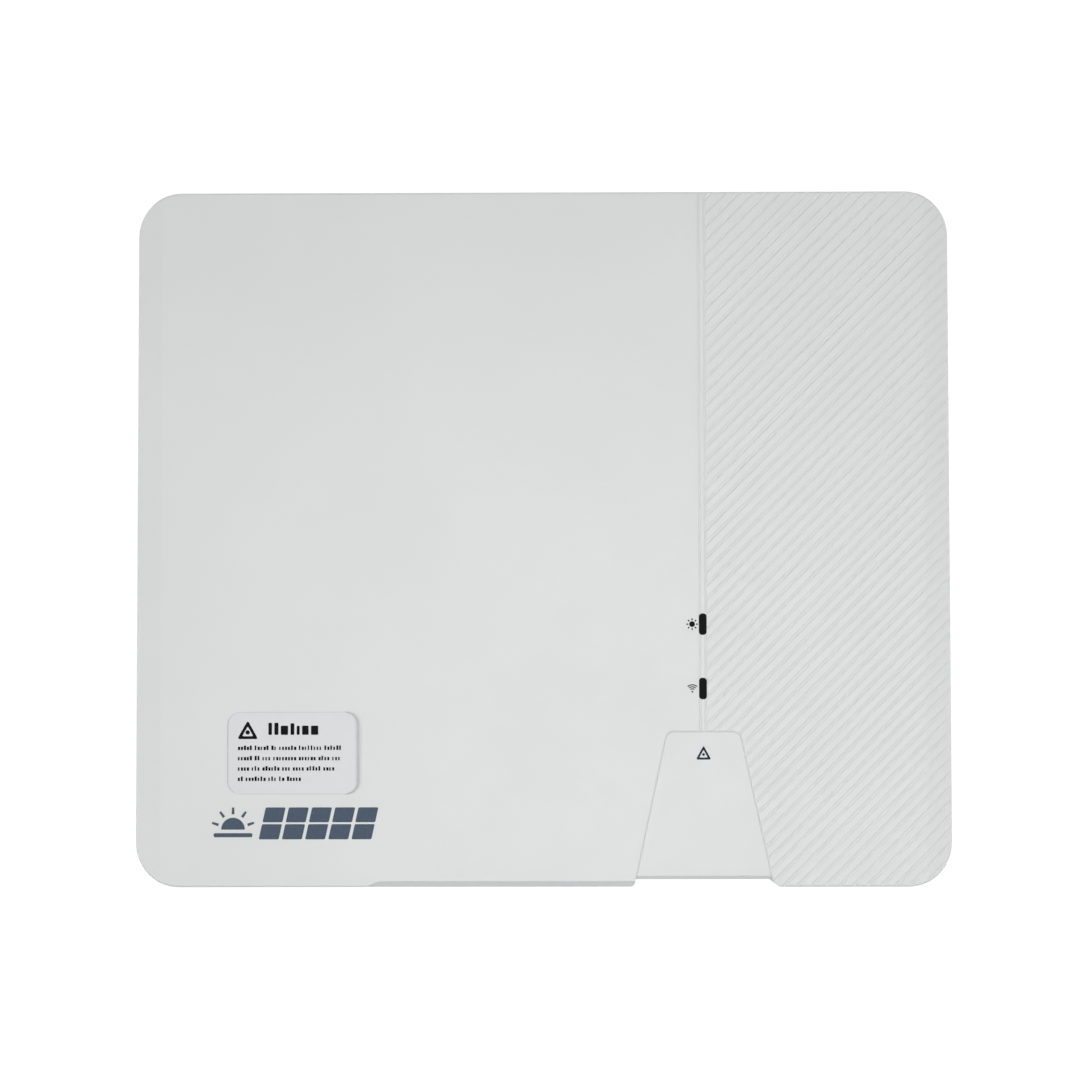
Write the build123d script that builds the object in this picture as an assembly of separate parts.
"""A wall-hung single-phase string inverter, in millimetres.

+X is to the right seen from the front, +Y points into the wall and +Z is up. The origin is the
centre of the wall bracket's four screw holes, on the wall plane, so all of the unit has y < 0.
Each function builds one piece, or one group of identical pieces, and the table at the end names them.
"""

import os
from math import cos, radians, sin, sqrt, tan

from build123d import *

# ---------------------------------------------------------------- driving dimensions
# Front cover: a drafted tray that hides the case and the connectors below it.
COVER_W = 303.0
COVER_H = 259.0
COVER_CZ = -25.0  # height of the cover's centre
COVER_R = 16.5
COVER_T = 2.5
FRONT_Y = -118.0
COVER_DEPTH = 34.0
SIDE_SLOPE_W = 9.2  # the face falls away over this width at its left and right ends
SIDE_SLOPE_DEG = 15.0
FOLD_R = 5.0
EDGE_R = 1.0

# Stiffening ribs behind the face.
STIFFENER_T, STIFFENER_H = 1.5, 2.5
STIFFENER_X = (-105.0, -50.0, 5.0, 95.0)
STIFFENER_Z = (-70.0, -15.0, 40.0)

# Accent strip and grooved field on the right of the face.
STRIP_X = 59.3
STRIP_GAP = 2.1
STRIP_GROOVE_W = 1.0
RIB_PITCH = 3.65
RIB_W = 1.45
RIB_FLOOR_W = 0.3
GROOVE_DEPTH = 0.32
CUTTER_RISE = 0.3

# Trapezium notch at the bottom edge and the panel that fills it.
NOTCH_X = 59.4
NOTCH_TOP = COVER_CZ - 72.1
NOTCH_HALF_TOP = 13.5
NOTCH_SLOPE = 0.215
NOTCH_R = 3.0
NOTCH_LEFT_R = 1.6
NOTCH_RIGHT_R = 3.6
PANEL_GAP = 0.04
PANEL_RECESS = 0.1
SEAM_W, SEAM_DEPTH = 0.4, 0.22  # bevel on each side of the seam between the notch and the panel
PANEL_FOOT = 2.8  # how far the panel's foot stops above the cover's bottom edge
PANEL_BEVEL_H, PANEL_BEVEL_DEPTH = 1.3, 1.5
PANEL_SKIRT = 10.0

# Relieved lower edge, left of the notch.
RELIEF_X = -66.3
RELIEF_RUN = 6.5
RELIEF_H = 2.2
RELIEF_DEPTH = 2.5

# Status windows.
WINDOW_W = 2.9
WINDOW_H = 8.0
WINDOW_R = 1.3
WINDOW_Z = (COVER_CZ - 32.3, COVER_CZ - 56.2)

# Adhesive label.
LABEL_X = -92.8
LABEL_Z = COVER_CZ - 79.9
LABEL_W = 49.0
LABEL_H = 30.5
LABEL_R = 4.8
LABEL_T = 0.25

# Die-cast case: a frame with a flange at its mouth, closed at the back by a finned heat sink.
CASE_HALF_W = 133.0
CASE_Z0, CASE_Z1 = -94.0, 90.0
CASE_WALL = 4.0
CASE_R = 9.0
FLANGE_OUT = 8.0
FLANGE_T = 6.0
LID_Y = -105.0  # mouth of the case, where the lid lies
LID_T = 2.0
BASE_Y = -41.0  # back of the case and inner face of the heat sink's plate
BASE_T = 6.0
FIN_TIP_Y = -9.0
FIN_COUNT = 27
FIN_ROOT_T, FIN_TIP_T = 3.0, 2.0
SINK_BOSS_R = 5.0
SINK_BOSS_Y = -50.0
SINK_SCREW_Z = (-85.0, -2.0, 81.0)
PILLAR_R = 5.5
GASKET_IN = 3.0
GASKET_W = 3.0
GASKET_D = 2.0
LID_SCREW_IN = 3.0
LID_SCREW_Z = (-58.0, -2.0, 54.0)
LID_SCREW_X = (-92.0, 0.0, 92.0)
EAR_X = 145.2
EAR_Z = (-85.0, 75.0)
EAR_R = 3.6
EAR_ROOT_X = 139.0
COVER_BOSS_R = 4.1
GROUND_Y, GROUND_Z = -60.0, -76.0
GROUND_BOSS_H = 3.0

# Wall bracket and the hanger that hooks over it.
BRACKET_W, BRACKET_Z0, BRACKET_Z1 = 176.0, -52.0, 46.0
SHEET_T = 2.0
HOLE_SPACING_X, HOLE_SPACING_Z = 140.0, 60.0
HOLE_R = 3.25
HOOK_X = 46.0
HOOK_W = 26.0
HOOK_Z = 24.0
HOOK_H = 14.0
HANGER_HALF_W = 64.0
HANGER_Z0 = 5.0
HANGER_SCREW_X = 23.0
HANGER_SCREW_Z = (12.0, 32.0)
HANGER_T = 1.9
HOOK_FRONT = -6.7  # front of the hooks' upright legs
LIP_FRONT, LIP_BACK = -4.3, -2.3  # the hanger's lips, behind the hooks
WINDOW_HALF_W, WINDOW_Z0, WINDOW_Z1 = 50.0, -42.0, 4.0

# Screw sizes: shank or thread radius.
M4_R, M3_R = 2.1, 1.5
SELF_TAP_R = 1.7
SCREW_GAP = 0.05  # radial gap between a modelled shank and its hole

# Connectors along the underside of the case.
PORT_Y = -64.0
SWITCH_X, PV_NEG_X, PV_POS_X, COM_X, AC_X, VENT_X = -97.0, -50.0, -22.0, 12.0, 59.4, 104.0
KNOB_R = 19.0
SWITCH_NECK_R, PV_NECK_R, COM_NECK_R, AC_NECK_R, VENT_NECK_R = 9.0, 8.0, 8.5, 15.0, 6.0
PLATE_T = 2.2  # the switch's bezel
KNOB_GAP = 0.4
SHAFT_R = 3.5
PV_PIN_R = 2.1
COM_R = 10.0
CAP_GAP = 0.1
CAP_SEAL_T = 1.6
AC_GASKET_T = 1.5
AC_FLANGE_W, AC_FLANGE_T = 42.0, 4.0
AC_BARREL_R, AC_CUP_R = 17.0, 14.2
AC_PIN_R = 2.5

# Main circuit board.
BOARD_T = 1.6
BOARD_FRONT = -52.6
BOARD_X = 121.0
BOARD_Z0, BOARD_Z1 = -72.0, 78.0
BOARD_NOTCH_X, BOARD_NOTCH_Z = -66.0, -42.0
BOARD_BACK = BOARD_FRONT + BOARD_T
STANDOFF_AT = [(-115, 72), (31, 72), (115, 72), (-115, -34), (115, -66), (-55, -66), (-36, 9), (108, -3)]

# Parts on the board and on the heat sink: places in X and Z.
TRANSISTOR_X = [-84 + 24 * i for i in range(8)]
TRANSISTOR_Z = 32.0
PAD_T = 0.5
BUS_CAPACITOR_AT = [(x, z) for x in (-102, -76, -50) for z in (58, 30)]
EMI_CHOKE_AT = ((-26, -12), (98, -34))
FILM_CAPACITOR_AT = ((-89, -2), (-104, -18), (61, -46), (84, 8))
RELAY_AT = [(x, z) for x in (24, 40) for z in (-62, -40)]
SENSOR_X = (36, 58)
TRANSFORMER_X, TRANSFORMER_Z = -58.0, 5.0
DC_TERMINAL_X, DC_TERMINAL_Z = -8.0, -56.0
AC_TERMINAL_X, AC_TERMINAL_Z = 88.0, -60.0
TERMINAL_PITCH = 10.0
CONTROL_Z = -24.0
WIRE_R = 1.9
AC_WIRE_R = 1.6

COVER_TOP = COVER_CZ + COVER_H / 2
COVER_BOTTOM = COVER_CZ - COVER_H / 2
COVER_BACK = FRONT_Y + COVER_DEPTH
COVER_INNER = FRONT_Y + COVER_T
LID_FRONT = LID_Y - LID_T


# ---------------------------------------------------------------- helpers
def block(x0, x1, y0, y1, z0, z1):
    """A box between two corners."""
    centre = Pos((x0 + x1) / 2, (y0 + y1) / 2, (z0 + z1) / 2)
    return centre * Box(x1 - x0, y1 - y0, z1 - z0)


def slab(outline, y0, y1):
    """A flat outline drawn in X and Z, thickened from y0 to y1."""
    return extrude(Plane.XZ.offset(-y1) * outline, amount=y1 - y0)


def prism_z(outline, z0, z1):
    """A flat outline drawn in X and Y, thickened from z0 to z1."""
    return extrude(Pos(0, 0, z0) * outline, amount=z1 - z0)


def rod_x(y, z, r, x0, x1):
    """A round bar along X."""
    return Pos((x0 + x1) / 2, y, z) * Rot(0, 90, 0) * Cylinder(r, x1 - x0)


def rod_y(x, z, r, y0, y1):
    """A round bar along Y."""
    return Pos(x, (y0 + y1) / 2, z) * Rot(90, 0, 0) * Cylinder(r, y1 - y0)


def rod_z(x, y, r, z0, z1):
    """A round bar along Z."""
    return Pos(x, y, (z0 + z1) / 2) * Cylinder(r, z1 - z0)


def hex_z(x, y, across, z0, z1):
    """A hexagonal bar along Z, given its width across flats."""
    return prism_z(Pos(x, y) * RegularPolygon(across / 2, 6, major_radius=False), z0, z1)


def polygon(*points):
    """A filled polygon in the drawing plane."""
    return make_face(Polyline(*points, close=True))


def rounded(x0, x1, z0, z1, r):
    """A rounded rectangle between two corners of the drawing plane."""
    return Pos((x0 + x1) / 2, (z0 + z1) / 2) * RectangleRounded(x1 - x0, z1 - z0, r)


def group(pieces):
    """Several separate solids kept as one node."""
    return Compound(children=[s for p in pieces for s in p.solids()])


def near(vertices, x, z, reach=0.6):
    """The corners of an outline that lie close to a point."""
    return [v for v in vertices if abs(v.X - x) < reach and abs(v.Y - z) < reach]


def tube(points, r, bend):
    """A round wire along straight runs joined by tangent arcs."""
    path = FilletPolyline(*points, radius=bend)
    section = Plane(origin=path @ 0, z_dir=path % 0) * Circle(r)
    return sweep(section, path=path)


def pan_screw_y(x, z, r, head_r, seat, head_h, length):
    """A pan-head screw along Y; head_h is negative where the head is on the front side of its seat."""
    way = 1 if head_h < 0 else -1
    head = rod_y(x, z, head_r, min(seat, seat + head_h), max(seat, seat + head_h))
    crown = head.edges().filter_by(GeomType.CIRCLE).sort_by(Axis.Y)[0 if head_h < 0 else -1]
    head = fillet(crown, 0.35 * abs(head_h))
    shank = rod_y(x, z, r, min(seat, seat + way * length), max(seat, seat + way * length))
    tip = seat + head_h
    depth = 0.5 * abs(head_h)
    return head + shank - slab(Pos(x, z) * RegularPolygon(0.5 * head_r, 6), tip - depth, tip + depth)


# ---------------------------------------------------------------- front cover
def notch_half(z, gap=0.0):
    """Half the notch's width at height z, less a gap."""
    return NOTCH_HALF_TOP + (NOTCH_TOP - z) * NOTCH_SLOPE - gap


def notch_outline(z_bottom, gap=0.0, radius=NOTCH_R):
    """The notch's outline down to z_bottom, shrunk by a gap and rounded at its two upper corners."""
    top = NOTCH_TOP - gap
    a, b = notch_half(top, gap), notch_half(z_bottom, gap)
    shape = polygon((NOTCH_X - b, z_bottom), (NOTCH_X - a, top), (NOTCH_X + a, top), (NOTCH_X + b, z_bottom))
    corners = near(shape.vertices(), NOTCH_X - a, top) + near(shape.vertices(), NOTCH_X + a, top)
    return fillet(corners, radius)


def cover_outline(inset=0.0):
    """The cover seen from the front, before its notch is cut: a rounded rectangle."""
    half_w, low, high = COVER_W / 2 - inset, COVER_BOTTOM + inset, COVER_TOP - inset
    return rounded(-half_w, half_w, low, high, COVER_R - inset)


def face_y(x, inset=0.0):
    """Depth of the cover's face at x: flat, then falling away near the two ends."""
    start = COVER_W / 2 - SIDE_SLOPE_W
    return FRONT_Y + inset + max(0.0, abs(x) - start) * tan(radians(SIDE_SLOPE_DEG))


def cover_section(inset, back):
    """The cover's cross-section in X and Y, as a filled outline."""
    side, start = COVER_W / 2 - inset, COVER_W / 2 - SIDE_SLOPE_W
    points = [(-side, back), (-side, face_y(side, inset)), (-start, FRONT_Y + inset)]
    shape = polygon(*points, *[(-x, y) for x, y in reversed(points)])
    folds = [v for s in (-1, 1) for v in near(shape.vertices(), s * start, FRONT_Y + inset)]
    return fillet(folds, FOLD_R - inset)


def cover_solid(inset, back):
    """The cover's outer shape as a full solid, shrunk by an inset and ending at back."""
    column = prism_z(cover_section(inset, back), COVER_BOTTOM - 10, COVER_TOP + 10)
    return slab(cover_outline(inset), FRONT_Y - 1, back) & column


def cover_blank():
    """The cover before its grooves and openings: a thin tray with a softly rounded front edge."""
    outer = cover_solid(0, COVER_BACK)
    outer = fillet([e for e in outer.edges() if on_front_rim(e)], EDGE_R)
    return outer - cover_solid(COVER_T, COVER_BACK + 1)


def on_front_rim(edge):
    """True for an edge where the face meets the side walls."""
    middle = edge @ 0.5
    if middle.Y > FRONT_Y + 4:
        return False
    across = abs(middle.X) > COVER_W / 2 - COVER_R and abs(middle.Z - COVER_CZ) > COVER_H / 2 - COVER_R
    at_wall = abs(abs(middle.X) - COVER_W / 2) < 0.01 or abs(abs(middle.Z - COVER_CZ) - COVER_H / 2) < 0.01
    return across or at_wall


def groove(x0, z0, x1, z1, width, floor, depth):
    """The cutter of one groove that follows the face from one point to another on one side of a fold."""
    dx, dz = x1 - x0, z1 - z0
    run = sqrt(dx * dx + dz * dz)
    nx, nz = -dz / run, dx / run
    top_half = width / 2 + CUTTER_RISE * (width - floor) / 2 / depth
    fall = (face_y(x1) - face_y(x0)) / dx if abs(dx) > 1e-6 else 0.0
    corners = []
    top, bottom = (top_half, -CUTTER_RISE), (floor / 2, depth)
    for half, sink, side in ((*top, -1), (*bottom, -1), (*bottom, 1), (*top, 1)):
        across = side * half
        corners.append((x0 + nx * across, face_y(x0) + nx * across * fall + sink, z0 + nz * across))
    section = Face(Wire.make_polygon([Vector(*c) for c in corners]))
    return Solid.extrude(section, Vector(dx, face_y(x1) - face_y(x0), dz))


def diagonal_grooves():
    """Grooves at 45 degrees that cover the face to the right of the strip, bent over its sloping end."""
    left = STRIP_X + STRIP_GAP / 2
    fold, right = COVER_W / 2 - SIDE_SLOPE_W, COVER_W / 2 + 2
    low, high = COVER_BOTTOM - 2, COVER_TOP + 2
    step = RIB_PITCH * sqrt(2)
    cutters = []
    offset = low - right + step
    while offset < high - left:
        for x0, x1 in ((left, fold), (fold, right)):
            a, b = max(x0, low - offset), min(x1, high - offset)
            if b - a > 0.5:
                cutters.append(groove(a, a + offset, b, b + offset, RIB_W, RIB_FLOOR_W, GROOVE_DEPTH))
        offset += step
    return cutters


def strip_grooves():
    """The two upright grooves that edge the strip, from the top edge down to the notch."""
    lines = []
    for x in (STRIP_X - STRIP_GAP / 2, STRIP_X + STRIP_GAP / 2):
        lines.append(groove(x, NOTCH_TOP - 2, x, COVER_TOP + 2, STRIP_GROOVE_W, RIB_FLOOR_W, GROOVE_DEPTH))
    return lines


def relief_cutter():
    """The wedge taken off the lower front edge between the left run-out and the notch."""
    z0, z1 = COVER_BOTTOM, COVER_BOTTOM + RELIEF_H
    run_out, right, high, low = RELIEF_X + RELIEF_RUN, NOTCH_X, z1 + 0.5, z0 - 1
    outline = polygon((RELIEF_X, low), (RELIEF_X, z0), (run_out, high), (right, high), (right, low))
    run = slab(outline, FRONT_Y - 2, FRONT_Y + RELIEF_DEPTH + 2)
    return run & chamfer_wedge(FRONT_Y, z0, RELIEF_DEPTH, RELIEF_H, RELIEF_X - 1, NOTCH_X + 1)


def chamfer_wedge(y, z, depth, height, x0, x1):
    """The corner in front of and below a slope that starts height up the face and ends depth behind it."""
    past = 2.0
    lift = past * height / depth
    front, back = y - past, y + depth + past
    section = polygon((front, z + height + lift), (back, z - lift), (front, z - lift))
    return extrude(Plane.YZ.offset(x0) * section, amount=x1 - x0)


def bevelled_rim(z_bottom, *levels):
    """The solid between two copies of the notch's outline, each given by its depth and its gap."""
    return loft([Plane.XZ.offset(-y) * notch_outline(z_bottom, gap, NOTCH_R - gap) for y, gap in levels])


def notch_cutter():
    """The notch through the face and the bottom wall, with a bevelled rim and flared lower corners."""
    low, past = COVER_BOTTOM, 0.1
    cutter = slab(notch_outline(low - 3), FRONT_Y - 2, COVER_BACK + 2)
    flare = SEAM_W * (1 + past / SEAM_DEPTH)
    cutter += bevelled_rim(low - 3, (FRONT_Y - past, -flare), (FRONT_Y + SEAM_DEPTH, 0.0))
    for side, r in ((-1, NOTCH_LEFT_R), (1, NOTCH_RIGHT_R)):
        edge = NOTCH_X + side * notch_half(low)
        top = NOTCH_X + side * notch_half(low + r)
        near_x, far_x = edge - side, edge + side * r * 1.2
        corner = polygon((near_x, low - 1), (far_x, low - 1), (far_x, low + r), (near_x, low + r))
        round_r = r / (1 - NOTCH_SLOPE * 0.5)
        centre = Pos(top + side * round_r, low + round_r)
        cutter += slab(corner - centre * Circle(round_r), FRONT_Y - 2, COVER_BACK + 2)
    return cutter


def cover_stiffeners():
    """Shallow ribs behind the face, and the bosses that take the fixing screws."""
    front, back, half = COVER_INNER - 0.5, COVER_INNER + STIFFENER_H, STIFFENER_T / 2
    left, right = -COVER_W / 2 + 11.5, STRIP_X - 13
    ribs = [block(x - half, x + half, front, back, COVER_BOTTOM + 60, COVER_TOP - 8) for x in STIFFENER_X]
    ribs += [block(left, right, front, back, z - half, z + half) for z in STIFFENER_Z]
    return ribs + [rod_y(x, z, COVER_BOSS_R, COVER_INNER - 1, LID_Y) for x, z in ear_places()]


def front_cover():
    """The moulded front cover with its grooves, notch, window slots and label area."""
    cover = cover_blank()
    inside = cover_solid(COVER_T / 2, COVER_BACK)
    for piece in cover_stiffeners():
        cover += piece & inside
    cover -= [rod_y(x, z, SELF_TAP_R, COVER_INNER + 1, LID_Y + 1) for x, z in ear_places()]
    cover -= notch_cutter()
    cover -= relief_cutter()
    cover -= [slab(window_outline(z), FRONT_Y - 1, COVER_INNER + 1) for z in WINDOW_Z]
    return cover - (diagonal_grooves() + strip_grooves())


def window_outline(z, grow=0.0):
    """A status window's outline."""
    w, h = WINDOW_W / 2 + grow, WINDOW_H / 2 + grow
    return rounded(STRIP_X - w, STRIP_X + w, z - h, z + h, WINDOW_R)


def status_lenses():
    """Two smoked lenses pressed into their slots, each with a flange behind the face."""
    panes = [slab(window_outline(z), FRONT_Y + 0.15, COVER_INNER) for z in WINDOW_Z]
    flanges = [slab(window_outline(z, 1.2), COVER_INNER, COVER_INNER + 1) for z in WINDOW_Z]
    return group(pane + flange for pane, flange in zip(panes, flanges))


def notch_panel():
    """The trapezium panel: a recessed face in the notch, a flange behind the cover and a bevelled foot."""
    foot = COVER_BOTTOM + PANEL_FOOT
    front = FRONT_Y + PANEL_RECESS
    shoulder = front + SEAM_DEPTH
    face = slab(notch_outline(foot, PANEL_GAP, NOTCH_R - PANEL_GAP), shoulder, COVER_INNER)
    face += bevelled_rim(foot, (front, PANEL_GAP + SEAM_W), (shoulder, PANEL_GAP))
    flange = slab(notch_outline(foot, -4.0, NOTCH_R + 4), COVER_INNER, COVER_INNER + 1.8)
    half = notch_half(foot, PANEL_GAP + 2.5)
    skirt = block(NOTCH_X - half, NOTCH_X + half, COVER_INNER, front + PANEL_SKIRT, foot, foot + 1.8)
    reach = notch_half(foot) + 8
    x0, x1 = NOTCH_X - reach, NOTCH_X + reach
    bevel = chamfer_wedge(front, foot, PANEL_BEVEL_DEPTH, PANEL_BEVEL_H, x0, x1)
    return face + flange + skirt - bevel


def notice_label():
    """The adhesive label on the face."""
    outline = Pos(LABEL_X, LABEL_Z) * RectangleRounded(LABEL_W, LABEL_H, LABEL_R)
    return slab(outline, FRONT_Y - LABEL_T, FRONT_Y)


def cover_screws():
    """Four screws that hold the cover, driven from behind through the ears of the case."""
    seat, shank = LID_Y + FLANGE_T, SELF_TAP_R - SCREW_GAP
    return group(pan_screw_y(x, z, shank, 3.4, seat, 2.4, 12) for x, z in ear_places())


# ---------------------------------------------------------------- case
def flange_outline(inset=0.0):
    """The case mouth's outer outline, shrunk by an inset."""
    out = FLANGE_OUT - inset
    return rounded(-CASE_HALF_W - out, CASE_HALF_W + out, CASE_Z0 - out, CASE_Z1 + out, CASE_R + out)


def cavity_outline(grow=0.0):
    """The case's inside outline, enlarged by grow."""
    half, low, high = CASE_HALF_W - CASE_WALL + grow, CASE_Z0 + CASE_WALL - grow, CASE_Z1 - CASE_WALL + grow
    return rounded(-half, half, low, high, CASE_R - CASE_WALL + grow)


def case_outline():
    """The case's outer outline behind its flange."""
    return rounded(-CASE_HALF_W, CASE_HALF_W, CASE_Z0, CASE_Z1, CASE_R)


def fin(x):
    """One cooling fin, thicker at its root."""
    y0, y1 = BASE_Y + BASE_T - 0.5, FIN_TIP_Y
    root, tip = FIN_ROOT_T / 2, FIN_TIP_T / 2
    return prism_z(polygon((x - root, y0), (x - tip, y1), (x + tip, y1), (x + root, y0)), CASE_Z0, CASE_Z1)


def fin_places():
    """The fins' places along X."""
    span = 2 * CASE_HALF_W - FIN_ROOT_T
    return [-span / 2 + span * i / (FIN_COUNT - 1) for i in range(FIN_COUNT)]


def ear_places():
    """Where the cover is screwed to the case's four ears."""
    return [(s * EAR_X, z) for s in (-1, 1) for z in EAR_Z]


def hanger_screw_places():
    """Where the hanger is screwed to the heat sink."""
    return [(s * HANGER_SCREW_X, z) for s in (-1, 1) for z in HANGER_SCREW_Z]


def sink_screw_places():
    """Where the heat sink is screwed to the case: between each side's last two fins."""
    outer, inner = fin_places()[-1], fin_places()[-2]
    return [(s * (outer + inner) / 2, z) for s in (-1, 1) for z in SINK_SCREW_Z]


def lid_screw_places():
    """Twelve places around the case's flange."""
    half = CASE_HALF_W + FLANGE_OUT - LID_SCREW_IN - 0.5
    low, high = CASE_Z0 - FLANGE_OUT + LID_SCREW_IN + 0.5, CASE_Z1 + FLANGE_OUT - LID_SCREW_IN - 0.5
    sides = [(s * half, z) for s in (-1, 1) for z in LID_SCREW_Z]
    return sides + [(x, z) for z in (low, high) for x in LID_SCREW_X]


def port_holes():
    """The radius of each hole in the underside, with its place along X."""
    places = (SWITCH_X, PV_NEG_X, PV_POS_X, COM_X, AC_X, VENT_X)
    return zip(places, (SWITCH_NECK_R, PV_NECK_R, PV_NECK_R, COM_NECK_R, AC_NECK_R, VENT_NECK_R))


def case():
    """The die-cast case: walls, a flange with its seal groove, ears, screw bosses and connector holes."""
    flange_back = LID_Y + FLANGE_T
    body = slab(case_outline(), LID_Y, BASE_Y) + slab(flange_outline(), LID_Y, flange_back)
    for x, z in ear_places():
        x0, x1 = sorted((x, EAR_ROOT_X if x > 0 else -EAR_ROOT_X))
        body += rod_y(x, z, EAR_R, LID_Y, flange_back)
        body += block(x0, x1, LID_Y, flange_back, z - EAR_R, z + EAR_R)
    body -= slab(cavity_outline(), LID_Y - 1, BASE_Y + 1)
    inside = slab(case_outline(), LID_Y, BASE_Y)
    for x, z in sink_screw_places():
        body += rod_y(x, z, SINK_BOSS_R, SINK_BOSS_Y, BASE_Y) & inside
    body += rod_x(GROUND_Y, GROUND_Z, 6.5, CASE_HALF_W - 1, CASE_HALF_W + GROUND_BOSS_H)
    body -= slab(gasket_outline(), LID_Y - 1, LID_Y + GASKET_D)
    body -= [rod_y(x, z, SELF_TAP_R, LID_Y - 1, flange_back + 1) for x, z in lid_screw_places()]
    body -= [rod_y(x, z, 2.2, LID_Y - 1, flange_back + 1) for x, z in ear_places()]
    body -= [rod_y(x, z, M3_R, SINK_BOSS_Y - 1, BASE_Y + 1) for x, z in sink_screw_places()]
    body -= rod_x(GROUND_Y, GROUND_Z, M4_R, CASE_HALF_W - 2.6, CASE_HALF_W + 4)
    return body - [rod_z(x, PORT_Y, r, CASE_Z0 - 1, CASE_Z0 + CASE_WALL + 1) for x, r in port_holes()]


def heat_sink():
    """The heat sink: a plate that closes the back of the case, its fins, and four pillars for the hanger."""
    root = BASE_Y + BASE_T
    sink = slab(case_outline(), BASE_Y, root) + [fin(x) for x in fin_places()]
    sink += [rod_y(x, z, PILLAR_R, root - 0.5, FIN_TIP_Y) for x, z in hanger_screw_places()]
    sink -= [rod_y(x, z, M4_R, FIN_TIP_Y - 14, FIN_TIP_Y + 1) for x, z in hanger_screw_places()]
    return sink - [rod_y(x, z, M3_R, BASE_Y - 1, root + 1) for x, z in sink_screw_places()]


def heat_sink_screws():
    """Six screws that hold the heat sink to the case."""
    seat, shank = BASE_Y + BASE_T, M3_R - SCREW_GAP
    return group(pan_screw_y(x, z, shank, 2.9, seat, 2.0, 13) for x, z in sink_screw_places())


def gasket_outline():
    """The ring that the lid's seal lies in."""
    return cavity_outline(GASKET_IN + GASKET_W) - cavity_outline(GASKET_IN)


def case_gasket():
    """The seal that lies in the flange's groove."""
    return slab(gasket_outline(), LID_Y, LID_Y + GASKET_D)


def case_lid():
    """The sheet lid, with a raised field, screw holes and two slots for the light guide."""
    lid = slab(flange_outline(), LID_FRONT, LID_Y)
    field = rounded(-118, 38, -78, 74, 8)
    lid += slab(field, LID_FRONT - 1.2, LID_FRONT)
    lid -= slab(rounded(-116, 36, -76, 72, 6), LID_Y - 1.6, LID_Y + 1)
    lid -= [rod_y(x, z, 2.2, LID_FRONT - 1, LID_Y + 1) for x, z in lid_screw_places()]
    lid -= [slab(window_outline(z, 0.35), LID_FRONT - 1, LID_Y + 1) for z in WINDOW_Z]
    return lid


def lid_screws():
    """Twelve screws around the lid."""
    shank = SELF_TAP_R - SCREW_GAP
    return group(pan_screw_y(x, z, shank, 3.3, LID_FRONT, -2.2, LID_T + 5) for x, z in lid_screw_places())


# ---------------------------------------------------------------- wall mounting
def wall_bracket():
    """A steel plate with four screw holes and two upturned hooks folded out of windows."""
    half = BRACKET_W / 2
    plate = slab(rounded(-half, half, BRACKET_Z0, BRACKET_Z1, 6), -SHEET_T, 0)
    for s in (-1, 1):
        x0, x1 = s * HOOK_X - HOOK_W / 2, s * HOOK_X + HOOK_W / 2
        plate += block(x0, x1, HOOK_FRONT, -1, HOOK_Z, HOOK_Z + SHEET_T)
        plate += block(x0, x1, HOOK_FRONT, HOOK_FRONT + SHEET_T, HOOK_Z, HOOK_Z + HOOK_H)
        blank = rounded(x0 - 1, x1 + 1, HOOK_Z + SHEET_T + 1.5, HOOK_Z + HOOK_H + 4, 1)
        plate -= slab(blank, -SHEET_T - 1, 1)
    window = rounded(-WINDOW_HALF_W, WINDOW_HALF_W, WINDOW_Z0, WINDOW_Z1, 6)
    plate -= slab(window, -SHEET_T - 1, 1)
    xs, zs = HOLE_SPACING_X / 2, HOLE_SPACING_Z / 2
    return plate - [rod_y(x, z, HOLE_R, -SHEET_T - 1, 1) for x in (-xs, xs) for z in (-zs, zs)]


def hanger():
    """The folded sheet on the fin tips whose lip drops behind the bracket's hooks."""
    face, lip_low, top = FIN_TIP_Y, HOOK_Z + SHEET_T, HOOK_Z + HOOK_H + SHEET_T + 1.0
    half = HANGER_HALF_W
    piece = block(-half, half, face, face + HANGER_T, HANGER_Z0, top)
    piece += block(-half, half, face, LIP_BACK, top - SHEET_T, top)
    for s in (-1, 1):
        x0, x1 = s * HOOK_X - HOOK_W / 2 - 3, s * HOOK_X + HOOK_W / 2 + 3
        piece += block(x0, x1, LIP_FRONT, LIP_BACK, lip_low, top)
    return piece - [rod_y(x, z, 2.6, face - 1, face + 3) for x, z in hanger_screw_places()]


def hanger_screws():
    """Four low-head screws that hold the hanger to the heat sink."""
    seat, shank = FIN_TIP_Y + HANGER_T, M4_R - SCREW_GAP
    return group(pan_screw_y(x, z, shank, 4.0, seat, 2.2, 12) for x, z in hanger_screw_places())


def ground_screw():
    """The earthing screw on the right-hand wall."""
    seat = CASE_HALF_W + GROUND_BOSS_H
    head = rod_x(GROUND_Y, GROUND_Z, 4.4, seat + 1.2, seat + 4.6)
    head -= extrude(Plane.YZ.offset(seat + 2.8) * Pos(GROUND_Y, GROUND_Z) * RegularPolygon(2.4, 6), amount=3)
    return head + rod_x(GROUND_Y, GROUND_Z, M4_R - SCREW_GAP, seat - 5.4, seat + 2)


def ground_washer():
    """The toothed washer under the earthing screw."""
    seat = CASE_HALF_W + GROUND_BOSS_H
    disc = rod_x(GROUND_Y, GROUND_Z, 5.6, seat, seat + 1.2)
    notches = [rod_x(GROUND_Y, GROUND_Z, 2.3, seat - 1, seat + 2)]
    for i in range(10):
        angle = radians(36 * i)
        notches.append(rod_x(GROUND_Y + 6 * cos(angle), GROUND_Z + 6 * sin(angle), 0.8, seat - 1, seat + 2))
    return disc - notches


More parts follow.
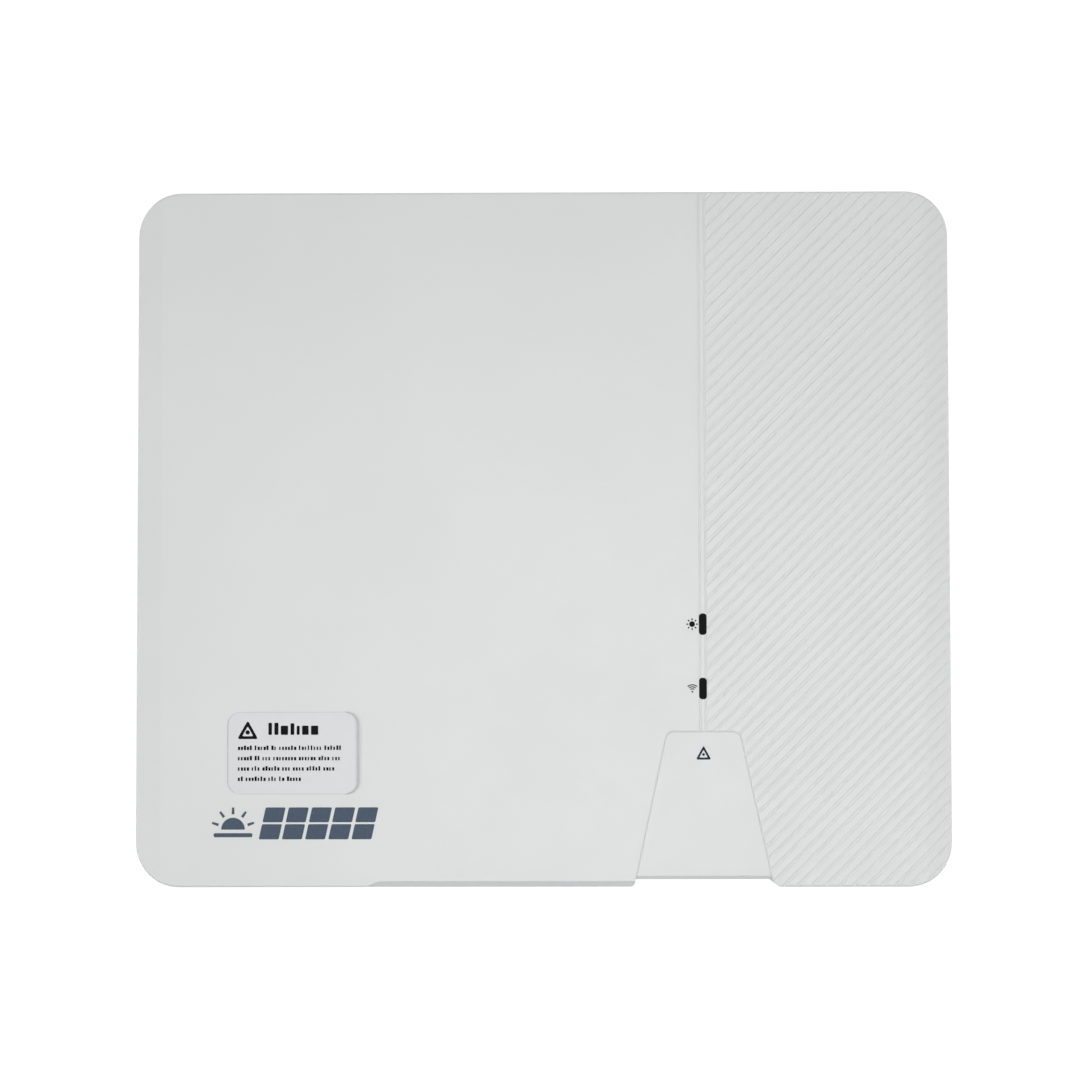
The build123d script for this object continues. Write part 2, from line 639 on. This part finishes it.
# ---------------------------------------------------------------- underside connectors
def switch_body():
    """The rotary DC isolator's body inside the case, with its neck through the wall."""
    x = SWITCH_X
    body = block(x - 22, x + 22, PORT_Y - 20, PORT_Y + 18, CASE_Z0 + CASE_WALL, -52)
    body += rod_z(x, PORT_Y, SWITCH_NECK_R - SCREW_GAP, CASE_Z0 - PLATE_T, CASE_Z0 + CASE_WALL + 1)
    body -= rod_z(x, PORT_Y, 4.1, CASE_Z0 - 3, -66)
    return body + [block(x + dx - 4, x + dx + 4, PORT_Y - 12, PORT_Y + 10, -52, -50) for dx in (-13, 0, 13)]


def switch_bezel():
    """The plate around the switch's knob."""
    low = CASE_Z0 - PLATE_T
    plate = prism_z(Pos(SWITCH_X, PORT_Y) * RectangleRounded(44, 44, 5), low, CASE_Z0)
    plate = fillet(plate.edges().group_by(Axis.Z)[0], 0.8)
    return plate - rod_z(SWITCH_X, PORT_Y, SWITCH_NECK_R, low - 1, CASE_Z0 + 1)


def switch_knob():
    """The knob: a round skirt with a grip bar, a pointer rib and a bore for the shaft."""
    top = CASE_Z0 - PLATE_T - KNOB_GAP
    skirt = rod_z(SWITCH_X, PORT_Y, KNOB_R, top - 5, top)
    skirt = fillet(skirt.edges().filter_by(GeomType.CIRCLE).sort_by(Axis.Z)[0], 1.2)
    bar = prism_z(Pos(SWITCH_X, PORT_Y) * RectangleRounded(11, 36, 4), top - 21, top - 4)
    bar = fillet(bar.edges().group_by(Axis.Z)[0], 1.5)
    pointer = block(SWITCH_X - 0.9, SWITCH_X + 0.9, PORT_Y - 17.6, PORT_Y - 12, top - 21.6, top - 20)
    return skirt + bar + pointer - rod_z(SWITCH_X, PORT_Y, SHAFT_R, top - 16, top + 1)


def switch_shaft():
    """The shaft that turns with the knob inside the isolator."""
    top = CASE_Z0 - PLATE_T - KNOB_GAP
    slim = rod_z(SWITCH_X, PORT_Y, SHAFT_R - SCREW_GAP, top - 16, -70)
    return slim + rod_z(SWITCH_X, PORT_Y, 4.05, top + KNOB_GAP, -70)


def pv_flange(x):
    """The fixed part of a solar connector: a hexagon outside the case and a neck inside."""
    hexagon = hex_z(x, PORT_Y, 21, CASE_Z0 - 5, CASE_Z0)
    return hexagon + rod_z(x, PORT_Y, PV_NECK_R - SCREW_GAP, CASE_Z0 - 1, CASE_Z0 + 13)


def pv_socket_neg():
    """The socket-side solar connector: a slotted barrel around a bore."""
    x, top = PV_NEG_X, CASE_Z0 - 5
    body = pv_flange(x) + rod_z(x, PORT_Y, 9.4, top - 26, top)
    body -= rod_z(x, PORT_Y, 7.4, top - 27, top - 3)
    for s in (-1, 1):
        body -= block(x - 2.6, x + 2.6, PORT_Y + s * 8 - 2.4, PORT_Y + s * 8 + 2.4, top - 16, top - 8)
    return body - rod_z(x, PORT_Y, PV_PIN_R, top - 4, CASE_Z0 + 14)


def pv_socket_pos():
    """The plug-side solar connector: a round nose between two sprung arms."""
    x, top = PV_POS_X, CASE_Z0 - 5
    body = pv_flange(x) + rod_z(x, PORT_Y, 6.3, top - 27, top) + rod_z(x, PORT_Y, 9.4, top - 8, top)
    for s in (-1, 1):
        y0, y1 = sorted((PORT_Y + s * 7.2, PORT_Y + s * 9.2))
        body += block(x - 2.3, x + 2.3, y0, y1, top - 24, top - 6)
        y0, y1 = sorted((PORT_Y + s * 8.8, PORT_Y + s * 10.4))
        body += block(x - 2.3, x + 2.3, y0, y1, top - 24, top - 20)
    body -= rod_z(x, PORT_Y, 3.4, top - 28, top - 12)
    return body - rod_z(x, PORT_Y, PV_PIN_R, top - 13, CASE_Z0 + 14)


def pv_contacts():
    """The pin and the sleeve of the two solar connectors, with their solder tails."""
    top = CASE_Z0 - 5
    r, high = PV_PIN_R - SCREW_GAP, CASE_Z0 + 16
    pin, sleeve = [rod_z(x, PORT_Y, r, top - 20, high) for x in (PV_NEG_X, PV_POS_X)]
    return group([pin, sleeve - rod_z(PV_POS_X, PORT_Y, 1.2, top - 21, top - 4)])


def pv_nuts():
    """The two nuts that clamp the solar connectors from inside the case."""
    return group(neck_nut(x, 22, PV_NECK_R) for x in (PV_NEG_X, PV_POS_X))


def neck_nut(x, across, r):
    """A thin nut on a connector's neck, against the inside of the case."""
    low = CASE_Z0 + CASE_WALL
    return hex_z(x, PORT_Y, across, low, low + 5) - rod_z(x, PORT_Y, r, low - 1, low + 6)


def com_port():
    """The communication port: a round barrel with a shoulder and a four-contact insert."""
    x, z = COM_X, CASE_Z0
    port = rod_z(x, PORT_Y, 14, z - 4, z) + rod_z(x, PORT_Y, COM_R, z - 18, z)
    port += rod_z(x, PORT_Y, COM_NECK_R - SCREW_GAP, z - 1, z + 14)
    port -= rod_z(x, PORT_Y, 7.5, z - 19, z - 4)
    return port + block(x - 6, x + 6, PORT_Y - 2.2, PORT_Y + 2.2, z - 14, z - 3)


def com_nut():
    """The nut that clamps the communication port."""
    return neck_nut(COM_X, 24, COM_NECK_R)


def com_cap_seal():
    """The ring seal between the port's shoulder and its cap."""
    z = CASE_Z0 - 4
    return rod_z(COM_X, PORT_Y, 12.6, z - CAP_SEAL_T, z) - rod_z(COM_X, PORT_Y, COM_R + CAP_GAP, z - 2, z + 1)


def com_cap():
    """The screw cap over the communication port, with grip flutes."""
    high = CASE_Z0 - 4 - CAP_SEAL_T - 0.05
    cap = rod_z(COM_X, PORT_Y, 13.5, high - 16, high)
    cap = fillet(cap.edges().filter_by(GeomType.CIRCLE).sort_by(Axis.Z)[0], 1.5)
    cap -= rod_z(COM_X, PORT_Y, COM_R + CAP_GAP, high - 13, high + 1)
    flutes = []
    for i in range(16):
        angle = radians(22.5 * i)
        flutes.append(rod_z(COM_X + 14.2 * cos(angle), PORT_Y + 14.2 * sin(angle), 1.5, high - 17, high - 2))
    return cap - flutes


def ac_socket():
    """The grid connector's body: a square flange and a neck around three contacts."""
    x, z = AC_X, CASE_Z0 - AC_GASKET_T
    body = prism_z(ac_flange_outline(), z - AC_FLANGE_T, z)
    body += rod_z(x, PORT_Y, AC_NECK_R - SCREW_GAP, z, CASE_Z0 + 12)
    body -= [rod_z(px, py, AC_PIN_R, z - AC_FLANGE_T - 1, CASE_Z0 + 13) for px, py in ac_pin_places()]
    return body - [rod_z(px, py, 1.9, z - AC_FLANGE_T - 1, z + 1) for px, py in ac_screw_places()]


def ac_barrel():
    """The grid connector's barrel, with three lugs that lock its plug."""
    high = CASE_Z0 - AC_GASKET_T - AC_FLANGE_T
    low = high - 22
    barrel = rod_z(AC_X, PORT_Y, AC_BARREL_R, low, high) - rod_z(AC_X, PORT_Y, AC_CUP_R, low - 1, high + 1)
    for angle in (0, 120, 240):
        lug_x = AC_X + (AC_BARREL_R + 0.2) * cos(radians(angle))
        lug_y = PORT_Y + (AC_BARREL_R + 0.2) * sin(radians(angle))
        barrel += rod_z(lug_x, lug_y, 1.8, low + 4, low + 8) - rod_z(AC_X, PORT_Y, AC_CUP_R, low, high)
    return barrel


def ac_flange_outline():
    """The square of the grid connector's flange and of its seal."""
    return Pos(AC_X, PORT_Y) * RectangleRounded(AC_FLANGE_W, AC_FLANGE_W, 6)


def ac_pin_places():
    """The three contacts, on a circle of 8 mm radius."""
    return [(AC_X + 8 * cos(radians(a)), PORT_Y + 8 * sin(radians(a))) for a in (90, 210, 330)]


def ac_screw_places():
    """The four corners of the grid connector's flange."""
    return [(AC_X + sx * 16.5, PORT_Y + sy * 16.5) for sx in (-1, 1) for sy in (-1, 1)]


def ac_gasket():
    """The flat seal between the grid connector and the case."""
    z0, z1 = CASE_Z0 - AC_GASKET_T, CASE_Z0
    sheet = prism_z(ac_flange_outline(), z0, z1) - rod_z(AC_X, PORT_Y, AC_NECK_R, z0 - 1, z1 + 1)
    return sheet - [rod_z(px, py, 1.9, z0 - 1, z1 + 1) for px, py in ac_screw_places()]


def ac_pins():
    """The three contacts of the grid connector."""
    low, high = CASE_Z0 - AC_GASKET_T - 22, CASE_Z0 + 16
    return group(rod_z(px, py, AC_PIN_R - SCREW_GAP, low, high) for px, py in ac_pin_places())


def ac_screws():
    """The four screws of the grid connector, ending in the wall of the case."""
    z = CASE_Z0 - AC_GASKET_T - AC_FLANGE_T
    screws = []
    for px, py in ac_screw_places():
        head = rod_z(px, py, 3.2, z - 2, z) - hex_z(px, py, 2.5, z - 3, z - 1)
        screws.append(head + rod_z(px, py, 1.9 - SCREW_GAP, z - 1, CASE_Z0))
    return group(screws)


def vent_plug():
    """The breather: a hexagon, a slotted dome and a threaded neck."""
    x, z = VENT_X, CASE_Z0
    plug = hex_z(x, PORT_Y, 17, z - 4, z) + rod_z(x, PORT_Y, 7.5, z - 9, z - 3)
    plug += rod_z(x, PORT_Y, VENT_NECK_R - SCREW_GAP, z - 1, z + 10)
    slots = [PORT_Y + dy for dy in (-3.5, 0, 3.5)]
    return plug - [block(x - 9, x + 9, y - 0.6, y + 0.6, z - 10, z - 6.5) for y in slots]


# ---------------------------------------------------------------- electronics
def main_board():
    """The power board, cut away around the isolator."""
    board = block(-BOARD_X, BOARD_X, BOARD_FRONT, BOARD_BACK, BOARD_Z0, BOARD_Z1)
    board -= block(-BOARD_X - 1, BOARD_NOTCH_X, BOARD_FRONT - 1, BOARD_BACK + 1, BOARD_Z0 - 1, BOARD_NOTCH_Z)
    return board - [rod_y(x, z, 1.7, BOARD_FRONT - 1, BOARD_BACK + 1) for x, z in STANDOFF_AT]


def board_standoffs():
    """Hexagonal pillars between the heat-sink plate and the power board."""
    pillars = []
    for x, z in STANDOFF_AT:
        pillar = slab(Pos(x, z) * RegularPolygon(3.5, 6, major_radius=False), BOARD_BACK, BASE_Y)
        pillars.append(pillar - rod_y(x, z, 1.5, BOARD_BACK - 1, BASE_Y - 2))
    return group(pillars)


def board_screws():
    """The screws that hold the power board to its pillars."""
    return group(pan_screw_y(x, z, 1.5 - SCREW_GAP, 2.9, BOARD_FRONT, -1.9, 7) for x, z in STANDOFF_AT)


def transistors():
    """Eight power switches lying on the heat sink, with their legs up to the board."""
    parts = []
    z = TRANSISTOR_Z
    for x in TRANSISTOR_X:
        body = block(x - 8, x + 8, BASE_Y - 5.5, BASE_Y - PAD_T, z - 10, z + 10)
        for dx in (-5.4, 0, 5.4):
            x0, x1 = x + dx - 0.6, x + dx + 0.6
            body += block(x0, x1, BASE_Y - 3.4, BASE_Y - 2.8, z - 14, z - 9)
            body += block(x0, x1, BOARD_BACK, BASE_Y - 2.8, z - 14.6, z - 14)
        parts.append(body)
    return group(parts)


def thermal_pads():
    """An insulating pad under each power switch."""
    low, high = TRANSISTOR_Z - 12, TRANSISTOR_Z + 12
    return group(block(x - 9, x + 9, BASE_Y - PAD_T, BASE_Y, low, high) for x in TRANSISTOR_X)


def clamp_bar():
    """The bar that presses the power switches onto the heat sink."""
    x0, x1, z = TRANSISTOR_X[0] - 12, TRANSISTOR_X[-1] + 12, TRANSISTOR_Z
    bar = block(x0, x1, BASE_Y - 7.5, BASE_Y - 5.5, z - 4, z + 4)
    return bar - [rod_y(x + 12, z, 1.8, BASE_Y - 9, BASE_Y - 4) for x in TRANSISTOR_X[:-1:2]]


def bus_capacitors():
    """Six electrolytic capacitors with rounded cans."""
    cans = [rod_y(x, z, 11.5, BOARD_FRONT - 42, BOARD_FRONT) for x, z in BUS_CAPACITOR_AT]
    return group(fillet(can.edges().filter_by(GeomType.CIRCLE), 1.2) for can in cans)


def toroid(x, z, ring_r, wire_r, height):
    """A wound ring choke lying flat on a plinth."""
    ring = Pos(x, BOARD_FRONT - height - wire_r + 1, z) * Rot(90, 0, 0) * Torus(ring_r, wire_r)
    plinth = rod_y(x, z, ring_r + wire_r, BOARD_FRONT - height, BOARD_FRONT)
    return ring + plinth


def boost_inductor():
    """The solar-side choke."""
    return toroid(2, 46, 19, 9, 4)


def output_inductors():
    """The two grid-side chokes."""
    return group([toroid(56, 50, 15, 8, 4), toroid(98, 48, 13, 7.5, 4)])


def emi_chokes():
    """Two common-mode chokes, each a rectangular core with two windings."""
    chokes = []
    for x, z in EMI_CHOKE_AT:
        core = block(x - 16, x + 16, BOARD_FRONT - 30, BOARD_FRONT - 4, z - 12, z + 12)
        core -= block(x - 8, x + 8, BOARD_FRONT - 22, BOARD_FRONT - 12, z - 13, z + 13)
        chokes.append(core + block(x - 17, x + 17, BOARD_FRONT - 5, BOARD_FRONT, z - 13, z + 13))
    return group(chokes)


def film_capacitors():
    """Box-shaped suppression capacitors."""
    front = BOARD_FRONT - 20
    boxes = [block(x - 13, x + 13, front, BOARD_FRONT, z - 6, z + 6) for x, z in FILM_CAPACITOR_AT]
    return group(fillet(b.edges().filter_by(Axis.Y), 1.0) for b in boxes)


def relays():
    """Four grid relays in two pairs."""
    front = BOARD_FRONT - 22
    return group(block(x - 7, x + 7, front, BOARD_FRONT, z - 9, z + 9) for x, z in RELAY_AT)


def current_sensors():
    """Two ring sensors around the output conductors."""
    sensors = []
    for x in SENSOR_X:
        sensor = block(x - 7, x + 7, BOARD_FRONT - 14, BOARD_FRONT, -8, 8)
        sensors.append(sensor - rod_y(x, 0, 3.5, BOARD_FRONT - 15, BOARD_FRONT - 2))
    return group(sensors)


def aux_transformer():
    """The small supply transformer: a core around a taped winding."""
    x, z = TRANSFORMER_X, TRANSFORMER_Z
    core = block(x - 14, x + 14, BOARD_FRONT - 24, BOARD_FRONT, z - 9, z + 9)
    core -= block(x - 10, x + 10, BOARD_FRONT - 20, BOARD_FRONT - 6, z - 10, z + 10)
    return core + rod_y(x, z, 8.2, BOARD_FRONT - 21, BOARD_FRONT - 5)


def terminal_block(x, z, ways):
    """A row of screw terminals with an open throat for each wire."""
    half = ways * TERMINAL_PITCH / 2
    throats = [x - half + TERMINAL_PITCH * (i + 0.5) for i in range(ways)]
    body = block(x - half, x + half, BOARD_FRONT - 14, BOARD_FRONT, z - 6, z + 6)
    body -= [rod_z(throat, BOARD_FRONT - 6, 2.4, z - 7, z) for throat in throats]
    return body - [rod_y(throat, z + 1, 2.8, BOARD_FRONT - 15, BOARD_FRONT - 11) for throat in throats]


def dc_terminals():
    """The two-way terminal block on the solar side."""
    return terminal_block(DC_TERMINAL_X, DC_TERMINAL_Z, 2)


def ac_terminals():
    """The three-way terminal block on the grid side."""
    return terminal_block(AC_TERMINAL_X, AC_TERMINAL_Z, 3)


def control_board():
    """The control board, standing on edge across the power board, with its processor."""
    board = block(-6, 74, BOARD_FRONT - 44, BOARD_FRONT - 4, CONTROL_Z, CONTROL_Z + BOARD_T)
    top = CONTROL_Z + BOARD_T
    chip = block(20, 36, BOARD_FRONT - 34, BOARD_FRONT - 18, top, top + 1.6)
    blocks = [block(x, x + 5, BOARD_FRONT - 38, BOARD_FRONT - 32, top, top + 2.4) for x in (44, 54, 64)]
    return board + chip + blocks


def board_header():
    """The pin header that joins the control board to the power board."""
    return block(0, 68, BOARD_FRONT - 4, BOARD_FRONT, CONTROL_Z - 1.6, CONTROL_Z + 3.2)


def led_board():
    """The indicator board behind the lid, on four short posts."""
    x0, x1, z0, z1 = STRIP_X - 10, STRIP_X + 10, WINDOW_Z[1] - 8, WINDOW_Z[0] + 8
    board = block(x0, x1, -100.6, -99, z0, z1)
    board += [rod_y(x, z, 1.6, LID_Y, -100.4) for x in (x0 + 2.5, x1 - 2.5) for z in (z0 + 2.5, z1 - 2.5)]
    return board + block(STRIP_X - 7, STRIP_X + 7, -99.2, -96, -72, -68)


def led_chips():
    """One indicator lamp behind each window."""
    return group(block(STRIP_X - 1.2, STRIP_X + 1.2, -101.8, -100.6, z - 2.4, z + 2.4) for z in WINDOW_Z)


def light_guide():
    """The clear moulding that carries light from the lamps to the windows through the lid."""
    plate = rounded(STRIP_X - 8, STRIP_X + 8, WINDOW_Z[1] - 9, WINDOW_Z[0] + 9, 4)
    rods = [slab(window_outline(z, -0.1), COVER_INNER + 1.9, -102.3) for z in WINDOW_Z]
    return slab(plate, LID_FRONT - 1.5, LID_FRONT) + rods


def led_ribbon():
    """The flat cable from the indicator board to the control board."""
    half = 0.4
    path = ((-96 + half, -70), (-88, -70), (-88, -34), (-78, -34), (-78, CONTROL_Z - half))
    strip = offset(FilletPolyline(*path, radius=3.5), amount=half, side=Side.BOTH)
    return extrude(Plane.YZ.offset(STRIP_X - 6) * make_face(strip.edges()), amount=12)


def dc_wire_neg():
    """The wire from the negative solar contact to the isolator."""
    x, y, z = PV_NEG_X, PORT_Y, CASE_Z0 + 16
    lug_x, lug_y = SWITCH_X, PORT_Y - 8
    rise = [(x, y, z), (x, y, -60), (x - 8, -80, -44)]
    return tube(rise + [(lug_x, -80, -40), (lug_x, lug_y, -40), (lug_x, lug_y, -50)], WIRE_R, 3.5)


def dc_wire_pos():
    """The wire from the positive solar contact to the isolator."""
    x, y, z = PV_POS_X, PORT_Y, CASE_Z0 + 16
    lug_x, lug_y = SWITCH_X + 13, PORT_Y - 8
    rise = [(x, y, z), (x, y, -60), (x - 12, -88, -44)]
    return tube(rise + [(lug_x, -88, -34), (lug_x, lug_y, -34), (lug_x, lug_y, -50)], WIRE_R, 5.0)


def ac_wires():
    """The three wires from the grid contacts to their terminal block."""
    wires = []
    ty, tz = BOARD_FRONT - 6, AC_TERMINAL_Z
    for (px, py), way in zip(sorted(ac_pin_places()), (-1, 0, 1)):
        tx = AC_TERMINAL_X + way * TERMINAL_PITCH
        points = [(px, py, CASE_Z0 + 16), (px, py, -73), (tx, ty, tz - 11.5), (tx, ty, tz)]
        wires.append(tube(points, AC_WIRE_R, 2.5))
    return group(wires)


def insulation_sheet():
    """The film that keeps the lid clear of the live parts."""
    sheet = rounded(-124, 45, -84, 80, 5)
    return slab(sheet, LID_Y, LID_Y + 0.5)


PIECES = {
    "front_cover": front_cover,
    "notch_panel": notch_panel,
    "status_lenses": status_lenses,
    "notice_label": notice_label,
    "cover_screws": cover_screws,
    "case": case,
    "heat_sink": heat_sink,
    "heat_sink_screws": heat_sink_screws,
    "case_gasket": case_gasket,
    "case_lid": case_lid,
    "lid_screws": lid_screws,
    "wall_bracket": wall_bracket,
    "hanger": hanger,
    "hanger_screws": hanger_screws,
    "ground_screw": ground_screw,
    "ground_washer": ground_washer,
    "switch_body": switch_body,
    "switch_bezel": switch_bezel,
    "switch_knob": switch_knob,
    "switch_shaft": switch_shaft,
    "pv_socket_neg": pv_socket_neg,
    "pv_socket_pos": pv_socket_pos,
    "pv_contacts": pv_contacts,
    "pv_nuts": pv_nuts,
    "com_port": com_port,
    "com_nut": com_nut,
    "com_cap": com_cap,
    "com_cap_seal": com_cap_seal,
    "ac_socket": ac_socket,
    "ac_barrel": ac_barrel,
    "ac_gasket": ac_gasket,
    "ac_pins": ac_pins,
    "ac_screws": ac_screws,
    "vent_plug": vent_plug,
    "main_board": main_board,
    "board_standoffs": board_standoffs,
    "board_screws": board_screws,
    "transistors": transistors,
    "thermal_pads": thermal_pads,
    "clamp_bar": clamp_bar,
    "bus_capacitors": bus_capacitors,
    "boost_inductor": boost_inductor,
    "output_inductors": output_inductors,
    "emi_chokes": emi_chokes,
    "film_capacitors": film_capacitors,
    "relays": relays,
    "current_sensors": current_sensors,
    "aux_transformer": aux_transformer,
    "dc_terminals": dc_terminals,
    "ac_terminals": ac_terminals,
    "control_board": control_board,
    "board_header": board_header,
    "led_board": led_board,
    "led_chips": led_chips,
    "light_guide": light_guide,
    "led_ribbon": led_ribbon,
    "dc_wire_neg": dc_wire_neg,
    "dc_wire_pos": dc_wire_pos,
    "ac_wires": ac_wires,
    "insulation_sheet": insulation_sheet,
}


def main():
    """Builds every piece and writes one STEP file for each."""
    os.makedirs("parts", exist_ok=True)
    for name, build in PIECES.items():
        export_step(build(), f"parts/{name}.step")


main()
